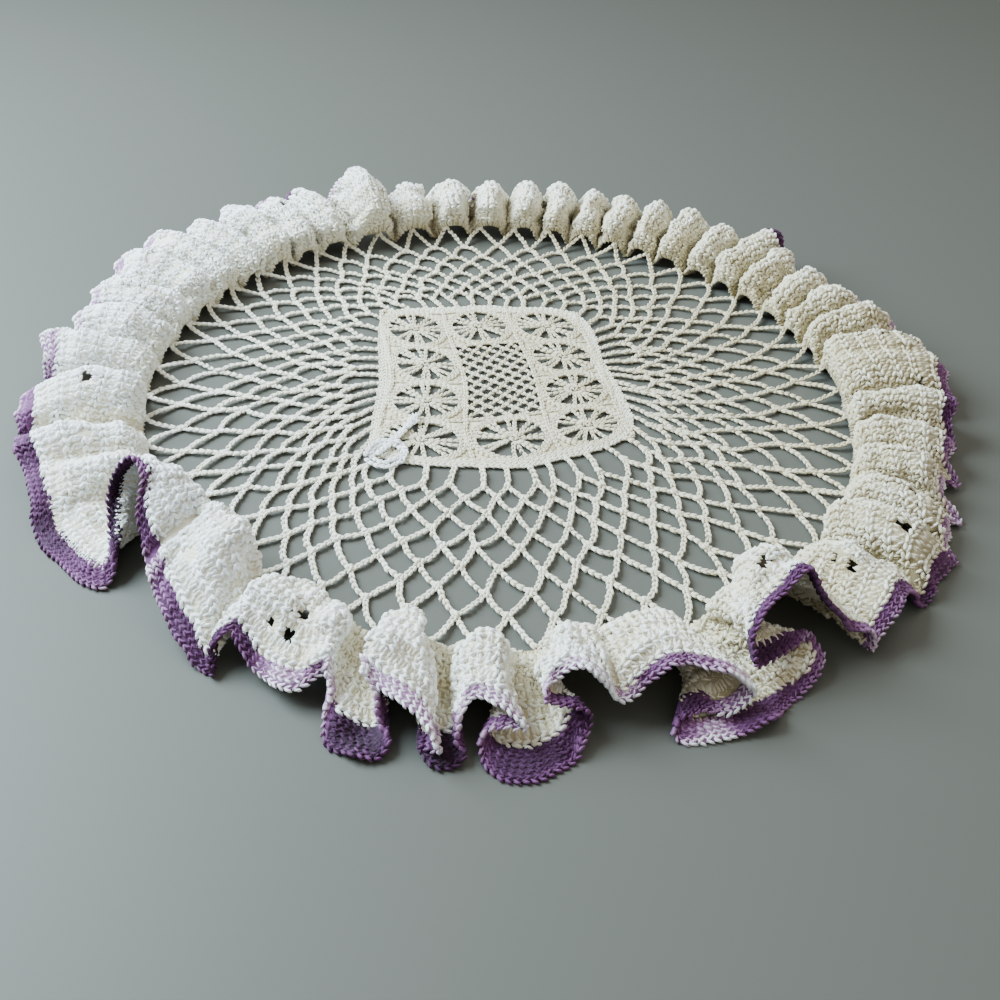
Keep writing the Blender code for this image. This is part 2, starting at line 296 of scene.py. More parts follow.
class Strands:
    # Gathers strands as arrays: middle, direction times length, side times width, up times thickness, and
    # the mark that their colour goes by.
    def __init__(self):
        self.parts = []

    def add(self, middles, along, up, length, width, thick, marks):
        along = unit(along)
        side = unit(np.cross(up, along))
        up = np.cross(along, side)
        count = len(middles)
        vary = 1 + chance.normal(0, strand["sizeVaries"], (3, count, 1))
        axes = (along * length * vary[0], side * width * vary[1], up * thick * vary[2])
        self.parts.append((middles, *axes, marks))

    def build(self, name, material, shape, key):
        points, faces, uvs = shape
        middles, *axes, marks = (np.concatenate(arrays) for arrays in zip(*self.parts))
        count = len(middles)
        spots = middles[:, None] + sum(points[:, k, None] * axis[:, None] for k, axis in enumerate(axes))
        corners = (faces + len(points) * np.arange(count)[:, None, None]).reshape(-1, 3)
        marks = np.repeat(marks, len(points))
        item = makeMesh(name, spots.reshape(-1, 3), corners, material, key, marks)
        item.data.uv_layers[0].data.foreach_set("uv", np.tile(uvs, (count, 1)).astype(np.float32).ravel())
        print(name, count, "strands", len(corners), "triangles")
        return item


stitch = {
    "pitch": 2.5 * mm,
    "length": 3.5 * mm,
    "width": 1.25 * mm,
    "thick": 1.5 * mm,
    "spread": 0.42 * mm,
    "slant": math.radians(15),
    "slantVaries": 0.08,
    "lean": 0.5,  # how far the two strands of a V face away from each other
    "aim": 0.5 * mm,  # how far before and after a stitch its direction is read
    "wobble": 0.12 * mm,
    "heightVaries": 0.06 * mm,
    "toneVaries": 0.05,
}


def chainAlong(strands, path, tone, size=1.0, pitch=stitch["pitch"]):
    # A crochet chain: at each stitch two strands lie side by side in a V that opens forwards.
    steps = np.linalg.norm(np.diff(path, axis=0), axis=1)
    reach = np.concatenate([[0], np.cumsum(steps)])
    count = max(2, round(reach[-1] / pitch))
    at = (np.arange(count) + 0.5) / count * reach[-1]

    def spotsAt(where):
        return np.stack([np.interp(where, reach, path[:, axis]) for axis in range(3)], axis=1)

    middles = spotsAt(at)
    forward = unit(spotsAt(at + stitch["aim"]) - spotsAt(at - stitch["aim"]))
    side = unit(np.cross((0, 0, 1), forward))
    wobble = chance.normal(0, stitch["wobble"], (count, 1))
    for hand in (-1, 1):
        slant = stitch["slant"] + chance.normal(0, stitch["slantVaries"], (count, 1))
        direction = forward * np.cos(slant) + hand * side * np.sin(slant)
        spots = middles + side * (hand * stitch["spread"] * size + wobble)
        spots[:, 2] += chance.normal(0, stitch["heightVaries"], count)
        up = np.array([0, 0, 1.0]) + hand * stitch["lean"] * side
        marks = tone + chance.normal(0, stitch["toneVaries"], count)
        length = stitch["length"] * pitch / stitch["pitch"]
        strands.add(spots, direction, up, length, stitch["width"] * size, stitch["thick"] * size, marks)


doily = {"rimRadius": 151 * mm}


def polar(radius, degrees):
    angle = np.radians(degrees)
    return np.stack([radius * np.cos(angle), radius * np.sin(angle)], axis=-1)


ruffle = {
    "gap": 0.3 * mm,
    "clothThick": 1.5 * mm,
    "clothEnd": 0.915,
    "stepAlong": 2.4 * mm,
    "stepsAcross": 24,
    "shoulderOut": 25 * mm,
    "shoulderDrawIn": 0.75,
    "shoulderSwing": 0.4,
    "plumpness": 0.1,
    "crestShare": 0.26,  # how far towards the next crest a crest's sides lie
    "crestSide": 0.84,  # how high they are, as a share of the crest
    "crestRound": 3 * mm,  # how much less far out they reach
    "fullRise": 20 * mm,
    "rootLift": 7 * mm,
    "leanIn": 6 * mm,
    "standOff": 0.6,  # the share of that lift and lean that crests have at the sides
    "standOffBack": 0.4,  # how much more they have at the back, and less at the front
    "curlFrom": 0.7,
    "valleyRise": 3 * mm,
    "valleyLift": 2 * mm,
    "valleyPaintedShade": 0.22,
    "runTaper": 1.5,
}

# One row for each crest of the ruffle or turn of its big folds, anticlockwise from the left: where it leaves
# the rim (degrees), how high its shoulder stands (mm), the direction of its free edge (degrees), that edge's
# radius and height (mm), the edging's dye, 0 dark plum to 1 white, the radius that the edge reaches in the
# valley after it, or 0 where the cloth runs on, and how far its end curls under (degrees).
Fold = namedtuple("Fold", "root rise edge radius height dye valley curl", defaults=(0, 0))
folds = [Fold(*row) for row in (
    (-178, 20, -178, 195, 24, 0.8, 195, 25),
    (-169, 20, -169, 202, 17, 0.7, 198, 30),
    (-158, 18, -158, 198, 15, 0.4, 0, 15),
    (-151, 14, -151.5, 196, 8, 0.45),
    (-148, 4, -146, 199, 3, 0.3),
    (-145, 4, -139.5, 196, 2, 0.45),
    (-143, 5, -134.7, 191, 2, 0.55),
    (-141.7, 12, -136.4, 182, 9, 0.2),
    (-140.3, 22, -141.2, 175, 22, 0.1),
    (-139, 28, -141, 168, 36, 0.25),
    (-137, 30, -138, 165, 38, 0.5),
    (-134, 30, -132.8, 176, 23, 0.35),
    (-130, 30, -129.9, 181, 16, 0.75),
    (-126.5, 27, -126.2, 185, 10, 0.5),
    (-123.2, 24, -121.6, 190, 5, 0.4),
    (-121, 14, -118.6, 193, 2, 0.45),
    (-119.6, 9, -117, 193, 2, 0.3),
    (-118.2, 15, -118.4, 187, 9, 0.25),
    (-116.8, 20, -117, 182, 16, 0.55),
    (-115.3, 20, -115, 185, 11, 0.35),
    (-113.5, 19, -112, 188, 5, 0.85),
    (-111, 19, -108.5, 189, 5, 0.95),
    (-109, 19, -106.5, 185, 10, 0.6),
    (-107.5, 17, -105.6, 181, 14, 0.75),
    (-106, 6, -104.3, 194, 4, 0.55),
    (-105, 3, -102.5, 203, 2, 0.2),
    (-104, 3, -99, 204, 2, 0.15),
    (-103, 4, -97.5, 196, 4, 0.3),
    (-101.5, 20, -102, 184, 19, 0.95),
    (-99, 20, -96.8, 191, 15, 0.97),
    (-97.4, 13, -93, 201, 7.5, 0.85),
    (-96.2, 5, -95.2, 196, 3, 0.25),
    (-95, 3, -93, 203, 2, 0.15),
    (-94, 4, -90.6, 198, 3, 0.3),
    (-92.5, 16, -92, 190, 12, 0.85),
    (-90.5, 19, -90.3, 185, 17, 0.9),
    (-89, 18, -87.8, 188, 16, 0.97),
    (-87.8, 13, -85.5, 192, 9, 0.85),
    (-87.2, 9, -87.6, 190, 8, 0.7),
    (-86.6, 5.5, -89.3, 194, 4.5, 0.6),
    (-86.2, 4, -89, 201, 2, 0.45),
    (-85.7, 3, -86, 206, 2, 0.3),
    (-84.7, 3, -81.5, 200, 2, 0.35),
    (-83.8, 6, -80, 193, 5, 0.45),
    (-83.1, 9, -79.6, 188, 9, 0.25),
    (-82.3, 13, -82, 185, 11.5, 0.4),
    (-81.6, 16, -84.3, 185, 14, 0.6),
    (-80.6, 20, -83.4, 181, 19, 0.78),
    (-79.3, 22, -80.3, 178, 22, 0.95),
    (-78, 20, -77.8, 181, 17, 0.97),
    (-76.6, 14, -75.4, 185, 11, 0.95),
    (-75, 18, -73.2, 182, 17, 0.6),
    (-72, 21, -69.5, 181, 21, 0.68),
    (-69, 20, -66, 187, 18, 0.75),
    (-67.3, 13, -62.8, 193, 11, 0.95),
    (-66.6, 10, -65.5, 194, 7, 0.8),
    (-66, 9, -67.8, 190, 8, 0.4),
    (-65.4, 6, -70.2, 190.5, 5.5, 0.3),
    (-64.8, 3, -71, 196.5, 2, 0.65),
    (-64.3, 3, -67, 199, 2, 0.95),
    (-63.5, 3, -63.5, 200, 2, 0.45),
    (-62.2, 4, -57, 194, 2, 0.4),
    (-61.8, 7, -51.8, 187, 5, 0.6),
    (-61, 12, -52.8, 181, 11.5, 0.6),
    (-60.2, 13, -56.5, 182.5, 11, 0.35),
    (-59.4, 16, -60.2, 184, 11.5, 0.35),
    (-58, 22, -60.8, 179, 21, 0.35),
    (-56, 25, -56.5, 173, 28, 0.5),
    (-53.5, 27, -52.3, 172, 33, 0.45),
    (-51.5, 24, -51, 178, 28, 0.25),
    (-50, 18, -50.2, 185, 20, 0.3),
    (-48.5, 13, -48.3, 190, 13, 0.5),
    (-47.5, 9, -46, 193, 9, 0.6),
    (-46.5, 4, -47, 194, 2, 0.65),
    (-44, 14, -43, 193, 10, 0.5),
    (-39, 18, -39, 190, 11, 0.45, 196),
    (-31, 20, -31, 199, 13, 0.5, 198, 50),
    (-23, 20, -23, 195, 15, 0.85, 196, 60),
    (-16, 20, -16, 187, 17, 0.8, 194, 60),
    (-9, 20, -9, 190, 18, 0.6, 194, 40),
    (-2, 21, -2, 193, 18, 0.45, 197),
    (5, 21, 5, 199, 19, 0.6, 0, 30),
    (13, 23, 13, 202, 25, 0.85, 199, 70),
    (20, 23, 20, 196, 25, 0.8, 195, 60),
    (26, 22, 26, 188, 24, 0.95, 190, 60),
    (32, 22, 32, 180, 24, 0.95, 188, 60),
    (39, 23, 39, 179, 25, 0.75, 189, 50),
    (45, 24, 45, 189, 28, 0.4, 190, 40),
    (51, 23, 51, 181, 24, 0.85, 188, 60),
    (58, 24, 58, 183, 27, 0.9, 188, 60),
    (64, 24, 64, 179, 26, 0.97, 186, 70),
    (70, 23, 70, 178, 23, 0.97, 186, 70),
    (76, 24, 76, 178, 23, 0.92, 186, 70),
    (82, 24, 82, 179, 23, 0.85, 186, 70),
    (88, 24, 88, 178, 22, 0.8, 186, 70),
    (95, 24, 95, 177, 22, 0.92, 186, 70),
    (102, 25, 102, 178, 25, 0.95, 186, 70),
    (110, 23, 110, 176, 21, 0.9, 186, 70),
    (118.6, 30, 119.2, 177, 38, 0.9, 191, 50),
    (127.5, 25, 130, 187, 28, 0.35, 191, 40),
    (133, 24, 134, 186, 28, 0.7, 191, 50),
    (139, 24, 140, 189, 29, 0.92, 193, 50),
    (146, 24, 147, 191, 28, 0.92, 195, 50),
    (153, 24, 153, 199, 28, 0.92, 197, 50),
    (160, 23, 160, 197, 27, 0.9, 196, 50),
    (167, 22, 167, 195, 25, 0.92, 194, 50),
    (174, 21, 174, 190, 23, 0.9, 193, 50),
)]


def foldSections():
    # Crests and the valleys between them, as rows of root, rise, edge, radius, height, dye and curl.
    found = []
    turn = np.array([360, 0, 360, 0, 0, 0, 0, 0])
    ring = [Fold(*(np.array(folds[-1]) - turn)), *folds, Fold(*(np.array(folds[0]) + turn))]
    for before, fold, after in zip(ring, ring[1:], ring[2:]):
        shapes = [(fold, 0, 1)]
        if before.valley and fold.valley:
            tall, part = ruffle["crestSide"], ruffle["crestShare"]
            shapes = [(before, part, tall), (fold, 0, 1), (after, part, tall)]
        for other, part, tall in shapes:
            root = fold.root + part * (other.root - fold.root)
            edge = fold.edge + part * (other.edge - fold.edge)
            rise, high = fold.rise * mm * tall, fold.height * mm * tall
            radius = fold.radius * mm - (ruffle["crestRound"] if part else 0)
            found.append((root, rise, edge, radius, high, fold.dye, fold.curl))
        if fold.valley:
            root, edge = (fold.root + after.root) / 2, (fold.edge + after.edge) / 2
            # The edging at the bottom of each valley is painted darker than the crests on either side, as
            # painted shade.
            dye = (fold.dye + after.dye) / 2 - ruffle["valleyPaintedShade"]
            found.append((root, ruffle["valleyRise"], edge, fold.valley * mm, ruffle["valleyLift"], dye, 0))
    return np.array(found)


def heading(before, here, after):
    # The slope at a section, and none where a value turns back, so that nothing swings past it.
    back, ahead = here - before, after - here
    onward = back * ahead > 0
    return np.where(onward, 2 * back * ahead / np.where(onward, back + ahead, 1), 0)


def smoothThrough(before, start, end, after, share):
    leaving, arriving = heading(before, start, end), heading(start, end, after)
    ease = share * share * (3 - 2 * share)
    bend = share * (1 - share) * (leaving * (1 - share) - arriving * share)
    return start + (end - start) * ease + bend


def foldStations():
    # Sections every few mm along the free edge, eased from one row of the table to the next.
    rows = foldSections()
    turn = np.array([360, 0, 360, 0, 0, 0, 0])
    around = np.vstack([rows[-1] - turn, rows, rows[:2] + turn])
    found = []
    for index in range(len(rows)):
        before, start, end, after = around[index : index + 4]
        ends = [np.append(polar(row[3], row[2]), row[4]) for row in (start, end)]
        steps = max(2, round(np.linalg.norm(ends[1] - ends[0]) / ruffle["stepAlong"]))
        for step in range(steps):
            share = step / steps
            section = smoothThrough(before, start, end, after, share)
            section[2] += ruffle["plumpness"] * math.sin(2 * math.pi * share) * (end[2] - start[2])
            found.append(section)
    return np.array(found)


def curled(grid, turns):
    # Bends the outer end of each section downwards in an arc, through its own turn, as far out as it was.
    first = round(ruffle["curlFrom"] * ruffle["stepsAcross"])
    start = grid[:, first, None]
    ahead = unit(grid[:, first + 1, None] - start)
    under = unit(np.array([0, 0, -1.0]) + ahead * ahead[..., 2:])
    steps = np.linalg.norm(np.diff(grid[:, first:], axis=1), axis=2)
    reach = np.concatenate([0 * steps[:, :1], np.cumsum(steps, axis=1)], axis=1)
    turns = np.maximum(turns, 0.01)[:, None]  # an end with no turn would divide by nought
    bend = turns * reach / reach[:, -1:]
    bow = reach[:, -1:] / np.sin(turns)
    shift = (bow * np.sin(bend) - reach)[..., None] * ahead + (bow * (1 - np.cos(bend)))[..., None] * under
    bent = grid.copy()
    bent[:, first:] += shift
    return bent


def clothGrid(sections, shares):
    # Each section leaves the rim, goes over its shoulder and falls to its free edge. Crests stand off the rim
    # and lean in over it, most at the back.
    root, rise, edge, radius, height = sections.T[:5, :, None]
    crest = np.clip((rise - ruffle["valleyRise"]) / ruffle["fullRise"], 0, 1)
    standOff = crest * (ruffle["standOff"] + ruffle["standOffBack"] * np.sin(np.radians(root)))
    rootRadius = doily["rimRadius"] + ruffle["gap"]
    shoulderRadius = rootRadius + ruffle["shoulderOut"] - ruffle["shoulderDrawIn"] * rise
    rootHeight = ruffle["clothThick"] / 2 + ruffle["rootLift"] * standOff
    atRoot = (rootRadius + 0 * root, root, rootHeight)
    atShoulder = (shoulderRadius, root + ruffle["shoulderSwing"] * (edge - root), rise)
    atEdge = (radius, edge, height)
    first, last = (1 - shares) * (1 - 2 * shares), shares * (2 * shares - 1)
    middle = 1 - first - last
    out, angle, lift = (a * first + b * middle + c * last for a, b, c in zip(atRoot, atShoulder, atEdge))
    lean = ruffle["leanIn"] * standOff * np.sin(np.pi * np.minimum(shares / ruffle["curlFrom"], 1)) ** 2
    flat = polar(np.maximum(out, rootRadius) - lean, angle)
    grid = curled(np.dstack([flat, lift]), np.radians(sections[:, 6]))
    grid[:, :, 2] = np.maximum(grid[:, :, 2], ruffle["clothThick"] / 2)
    return grid / 2 + (np.roll(grid, 1, axis=0) + np.roll(grid, -1, axis=0)) / 4


# Creases: where each leaves the rim (degrees), where it starts and ends across the ruffle as shares of its
# depth, how deep it is and how wide (mm). A depth below zero is a ridge.
Crease = namedtuple("Crease", "root start end depth width")
creases = [Crease(*row) for row in (
    (-163, 0.3, 0.9, -2, 14),
    (-153.5, 0.15, 0.85, 5, 7),
    (-130.8, 0.3, 1.1, 8, 6),
    (-128, 0.45, 1, 4, 9),
    (-125, 0.2, 0.8, -2, 9),
    (-110, 0.1, 0.6, 3, 7),
    (-98, 0.05, 0.6, 3, 5),
    (-78.5, 0.1, 0.8, 3, 7),
    (-57, 0.2, 0.8, 3, 8),
    (-54.5, 0.1, 0.7, -2, 9),
    (-23, 0.2, 0.9, 3, 6),
    (-4, 0.2, 0.8, 3, 6),
    (9, 0.3, 0.9, 3, 8),
    (24, 0.2, 0.9, 2.5, 5),
    (45, 0.2, 0.9, 4, 6),
    (58, 0.2, 0.9, 2.5, 5),
    (98, 0.2, 0.8, 2, 6),
    (122, 0.1, 1, 5, 5),
    (128, 0.1, 1.1, 6, 5),
    (133.5, 0.1, 1, 5, 5),
    (139.5, 0.1, 0.9, 5, 5),
    (147, 0.2, 0.9, 3, 6),
    (153.5, 0.1, 0.9, 4, 6),
    (168, 0.2, 0.9, 3, 6),
)]

lump = {
    "knotsRound": (250, 560),
    "knotsAcross": (5, 9),
    "heights": (2.2 * mm, 1.3 * mm),
    "fade": 0.12,
    "measuredAt": 0.7,
    "beside": 4,
}


def softNoise(around, across, knotsRound, knotsAcross):
    # Random heights from -1 to 1 at knots, joined smoothly and closed all round.
    knots = chance.uniform(-1, 1, (knotsRound, knotsAcross + 2))
    where = (around * knotsRound, across * knotsAcross)
    low = [np.floor(spot).astype(int) for spot in where]
    ease = [(spot - base) ** 2 * (3 - 2 * (spot - base)) for spot, base in zip(where, low)]
    corner = [knots[(low[0] + i) % knotsRound, low[1] + j] for i in (0, 1) for j in (0, 1)]
    near = corner[0] * (1 - ease[1]) + corner[1] * ease[1]
    far = corner[2] * (1 - ease[1]) + corner[3] * ease[1]
    return near * (1 - ease[0]) + far * ease[0]


def facingOf(grid):
    along = np.roll(grid, -1, axis=0) - np.roll(grid, 1, axis=0)
    over = np.gradient(grid, acrossShares, axis=1)
    return along, over, unit(np.cross(over, along))


def crumple(grid):
    # Puffs of the stitches all over the cloth, and the creases.
    steps = np.linalg.norm(np.roll(grid, -1, axis=0) - grid, axis=2)
    reach = np.cumsum(steps, axis=0) - steps
    column = round(lump["measuredAt"] * ruffle["stepsAcross"])
    around = (reach[:, column] / steps[:, column].sum())[:, None] + 0 * acrossShares
    across = acrossShares + 0 * around
    puff = sum(
        height * softNoise(around, across, *knots)
        for height, *knots in zip(lump["heights"], lump["knotsRound"], lump["knotsAcross"])
    )
    for crease in creases:
        at = np.argmin(np.abs(sections[:, 0] - crease.root))
        away = (reach - reach[at]) / (crease.width * mm / 2)
        along = np.clip((across - crease.start) / (crease.end - crease.start), 0, 1)
        puff = puff - crease.depth * mm * np.exp(-(away**2)) * np.sin(np.pi * along) ** 0.5
    puff = puff * np.clip(across / lump["fade"], 0, 1)
    moved = grid + facingOf(grid)[2] * puff[:, :, None]
    moved[:, :, 2] = np.maximum(moved[:, :, 2], ruffle["clothThick"] / 2)
    return moved


def standing(grid):
    # How far each spot stands above the mean height of the cloth on both sides of it.
    steps = range(-lump["beside"], lump["beside"] + 1)
    return grid[..., 2:] - sum(np.roll(grid[..., 2:], step, axis=0) for step in steps) / len(steps)


sections = foldStations()
acrossShares = np.linspace(0, 1, ruffle["stepsAcross"] + 1)
cloth = crumple(clothGrid(sections, acrossShares))
alongCloth, overCloth, facing = facingOf(cloth)
proud = standing(cloth)
print("folds are laid,", len(sections), "sections")


net = {
    "loops": 52,
    "roundShares": (0, 0.125, 0.205, 0.295, 0.39, 0.49, 0.595, 0.715, 0.85, 1),
    "rimInset": 0.6 * mm,
    "wander": 0.9 * mm,
    "turnWander": 0.35,
    "lift": 1.15 * mm,
    "liftVaries": 0.1 * mm,
    "hump": 0.5 * mm,
    "arch": 0.15,
    "sway": 0.35 * mm,
    "chainSteps": 9,
    "chainSize": 1.22,
    "sizeVaries": 0.06,
    "pitch": 2.7 * mm,
    "tone": 0.50,
    # The next two set painted light: how much whiter the yarn is painted towards the front left, and how much
    # the front counts towards that.
    "paintedLightChange": 0.2,
    "paintedLightFront": 0.6,
}
knot = {
    "size": (3.8 * mm, 1.8 * mm, 1.9 * mm),
    "apart": 0.6 * mm,
    "slant": 0.35,
    "lift": 0.5 * mm,
    "wander": 0.2 * mm,
}

panel = {
    "centre": (-3 * mm, 17 * mm),
    "turn": math.radians(13),
    "wide": 32 * mm,
    "deep": 30 * mm,
    "columns": 3,
    "rows": 4,
    "border": 3 * mm,
    "cornerPower": 7,
    "sag": 3.5 * mm,
}
halfWide = panel["columns"] * panel["wide"] / 2
halfDeep = panel["rows"] * panel["deep"] / 2
# How far each corner of the panel is pulled out of square: its sides, then the pull to the right and to
# the back (mm).
Pull = namedtuple("Pull", "right back across along")
cornerPulls = (
    Pull(-1, -1, -12, 6),
    Pull(1, -1, 2, 10),
    Pull(1, 1, 1, -9),
    Pull(-1, 1, 4, 0),
)


def fromPanel(x, y):
    # From the panel's own directions to the doily's. The panel sags a little between its sides.
    along, up = math.cos(panel["turn"]), math.sin(panel["turn"])
    middle = panel["centre"]
    y = y - panel["sag"] * (1 - np.clip(np.abs(x) / halfWide, 0, 1) ** 2)
    moved = [x, y]
    for pull in cornerPulls:
        share = np.clip(pull.right * x / halfWide, 0, 1) * np.clip(pull.back * y / halfDeep, 0, 1)
        moved = [moved[0] + pull.across * mm * share, moved[1] + pull.along * mm * share]
    x, y = moved
    return np.stack([middle[0] + x * along - y * up, middle[1] + x * up + y * along], axis=-1)


def panelEdge(degrees):
    angle = np.radians(degrees) - panel["turn"]
    power = panel["cornerPower"]
    across = np.abs(np.cos(angle) / (halfWide + panel["border"])) ** power
    along = np.abs(np.sin(angle) / (halfDeep + panel["border"])) ** power
    reach = (across + along) ** (-1 / power)
    return fromPanel(reach * np.cos(angle), reach * np.sin(angle))


def netJoints():
    # One row of joints for each round. Every second round lies half a loop further on.
    rounds = []
    for number, share in enumerate(net["roundShares"]):
        offset = 0.5 * ((number + 1) % 2) if number else 0
        degrees = 360 * (np.arange(net["loops"]) + offset) / net["loops"]
        if 0 < share < 1:
            degrees = degrees + chance.normal(0, net["turnWander"], net["loops"])
        atRim = polar(doily["rimRadius"] - net["rimInset"], degrees)
        spots = panelEdge(degrees) * (1 - share) + atRim * share
        if 0 < share < 1:
            spots = spots + chance.normal(0, net["wander"], spots.shape)
        rounds.append(spots)
    return rounds


def rimHeight(degrees):
    # How high the ruffle's root stands above the table there.
    turned = np.degrees(np.arctan2(cloth[:, 0, 1], cloth[:, 0, 0]))
    return np.interp(degrees, turned, cloth[:, 0, 2], period=360)


def netToneWithPaintedLight(spots):
    # A cream tone with painted light and shade over it: whiter at the front left, where the window light
    # falls, and creamier towards the middle and the right.
    left = (-spots[..., 0] - net["paintedLightFront"] * spots[..., 1]) / doily["rimRadius"]
    return net["tone"] + net["paintedLightChange"] * np.clip(left, -1, 1)


def makeNet():
    joints = netJoints()
    strands = Strands()
    share = np.linspace(0, 1, net["chainSteps"])[:, None]

    def lay(start, end, arch, climb=0.0):
        middle = (start + end) / 2
        bend = unit(middle) * arch * np.linalg.norm(end - start) + chance.normal(0, net["sway"], 2)
        flat = start * (1 - share) + end * share + 4 * share * (1 - share) * bend
        rise = net["lift"] + chance.normal(0, net["liftVaries"]) + net["hump"] * np.sin(np.pi * share) ** 2
        rise = rise + climb * share**2
        size = net["chainSize"] * (1 + chance.normal(0, net["sizeVaries"]))
        chainAlong(strands, np.hstack([flat, rise]), netToneWithPaintedLight(middle), size, net["pitch"])

    for place in range(net["loops"]):
        lay(joints[0][place], joints[1][place], 0)
    for number in range(2, len(joints)):
        # Rounds with an even number lie half a loop on from the ones on either side of them.
        shift = -1 if number % 2 else 1
        for place in range(net["loops"]):
            climb = 0
            if number == len(joints) - 1:
                climb = rimHeight(360 * place / net["loops"]) - ruffle["clothThick"] / 2
            for other in (place, (place + shift) % net["loops"]):
                lay(joints[number - 1][other], joints[number][place], net["arch"], climb)
    spots = np.concatenate(joints[1:-1])
    outward = unit(np.column_stack([spots, np.zeros(len(spots))]))
    around = np.cross((0, 0, 1), outward)
    tone = netToneWithPaintedLight(spots)
    for shift in (-1, 1):
        middles = np.column_stack([spots, np.full(len(spots), net["lift"] + knot["lift"])])
        middles = middles + shift * knot["apart"] * around + chance.normal(0, knot["wander"], middles.shape)
        direction = outward + shift * knot["slant"] * around
        strands.add(middles, direction, np.array([0, 0, 1.0]), *knot["size"], tone)
    return strands.build("laceNet", cotton, chainStrand, "tone")


laceNet = makeNet()
print("net is worked")


flower = {
    "petals": 8,
    "turnVaries": 8,
    "leanVaries": 3.5,
    "spread": 7.5,
    "spreadVaries": (0.75, 1.3),
    "postFrom": 2.4 * mm,
    "postTo": 13.2 * mm,
    "postSize": 0.95,
    "postLift": 0.35 * mm,
    "eye": 1.4 * mm,
    "eyeSize": 0.9,
    "eyeLift": 0.8 * mm,
    "rings": (13.9 * mm, 15.4 * mm),
    "ringLift": 0.15 * mm,
    "roundSteps": 28,
}
panelWork = {
    "tone": -0.11,
    "lift": 1.2 * mm,
    "warp": 1.3 * mm,
    "warpWaves": (14 * mm, 12 * mm),
    "warpStarts": (1.3, 0.4),
    "meshPitch": 5.2 * mm,
    "meshShortest": 4 * mm,
    "meshSize": 0.92,
    "meshLift": 0.35 * mm,
    "lineSize": 1.15,
    "lineLift": 0.2 * mm,
    "lineSteps": 30,
    "border": (-0.4 * mm, 1.4 * mm, 3.2 * mm),
    "borderSteps": 90,
    "borderWave": 0.5 * mm,
    "borderSize": 1.1,
    "borderTone": 0.58,
}
finePlaces = ((1, 1), (1, 2))


def panelPath(points):
    # Points in the panel's own directions, pulled a little out of true as handwork is, at the net's height.
    points = np.asarray(points, float)
    warp = np.sin(points[:, ::-1] / panelWork["warpWaves"] + panelWork["warpStarts"])
    spots = fromPanel(*(points + panelWork["warp"] * warp).T)
    return np.column_stack([spots, np.full(len(spots), panelWork["lift"])])


def layOnPanel(strands, points, size=1.0, rise=0.0):
    path = panelPath(points)
    path[:, 2] += rise
    tone = float(netToneWithPaintedLight(path[:, :2].mean(axis=0))) + panelWork["tone"]
    chainAlong(strands, path, tone, size)


def straight(start, end, count=12):
    share = np.linspace(0, 1, count)[:, None]
    return np.array(start) * (1 - share) + np.array(end) * share


def makeFlower(strands, middle):
    turn = chance.normal(0, flower["turnVaries"])
    for petal in range(flower["petals"]):
        lean = chance.normal(0, flower["leanVaries"])
        half = flower["spread"] * chance.uniform(*flower["spreadVaries"])
        for side in (-1, 1):
            degrees = 360 * petal / flower["petals"] + turn + lean + side * half
            ends = [middle + polar(reach, degrees) for reach in (flower["postFrom"], flower["postTo"])]
            layOnPanel(strands, straight(*ends), flower["postSize"], flower["postLift"])
    around = np.linspace(0, 360, flower["roundSteps"])
    layOnPanel(strands, middle + polar(flower["eye"], around), flower["eyeSize"], flower["eyeLift"])
    for ring in flower["rings"]:
        layOnPanel(strands, middle + polar(ring, around), rise=flower["ringLift"])


def makeFineMesh(strands, wide, deep):
    # Lines of chain at 45 degrees, each with its mirror image lying over it.
    pitch = panelWork["meshPitch"] * math.sqrt(2)
    for start in np.arange(-wide - 2 * deep, wide, pitch):
        begin, end = max(start, -wide), min(start + 2 * deep, wide)
        if end - begin >= panelWork["meshShortest"]:
            for side, rise in ((1, 0), (-1, panelWork["meshLift"])):
                ends = [(side * x, x - start - deep) for x in (begin, end)]
                layOnPanel(strands, straight(*ends), panelWork["meshSize"], rise)


def flowerMiddles():
    for column in range(panel["columns"]):
        for row in range(panel["rows"]):
            if (column, row) not in finePlaces:
                x = (column - (panel["columns"] - 1) / 2) * panel["wide"]
                y = (row - (panel["rows"] - 1) / 2) * panel["deep"]
                yield np.array([x, y])


def makePanel():
    strands = Strands()
    for middle in flowerMiddles():
        makeFlower(strands, middle)
    meshEdge = panel["wide"] / 2
    makeFineMesh(strands, meshEdge, panel["deep"])
    for column in range(panel["columns"] + 1):
        x = column * panel["wide"] - halfWide
        line = straight((x, -halfDeep), (x, halfDeep), panelWork["lineSteps"])
        layOnPanel(strands, line, panelWork["lineSize"], panelWork["lineLift"])
    for row in range(panel["rows"] + 1):
        y = row * panel["deep"] - halfDeep
        lines = [straight((-halfWide, y), (halfWide, y), panelWork["lineSteps"])]
        if row == panel["rows"] / 2:
            # The line across the middle leaves the fine mesh free.
            lines = [straight((-halfWide, y), (-meshEdge, y)), straight((meshEdge, y), (halfWide, y))]
        for line in lines:
            layOnPanel(strands, line, panelWork["lineSize"])
    around = np.linspace(0, 360, panelWork["borderSteps"])
    every = around[::3]
    waves = chance.normal(0, panelWork["borderWave"], len(every))
    wave = np.interp(around, every, waves, period=360)[:, None]
    edge = panelEdge(around)
    middle = np.array(panel["centre"])
    for inset in panelWork["border"]:
        line = edge + unit(middle - edge) * (inset + wave)
        path = np.column_stack([line, np.full(len(line), panelWork["lift"])])
        chainAlong(strands, np.vstack([path, path[:1]]), panelWork["borderTone"], panelWork["borderSize"])
    return strands.build("flowerPanel", cotton, chainStrand, "tone")


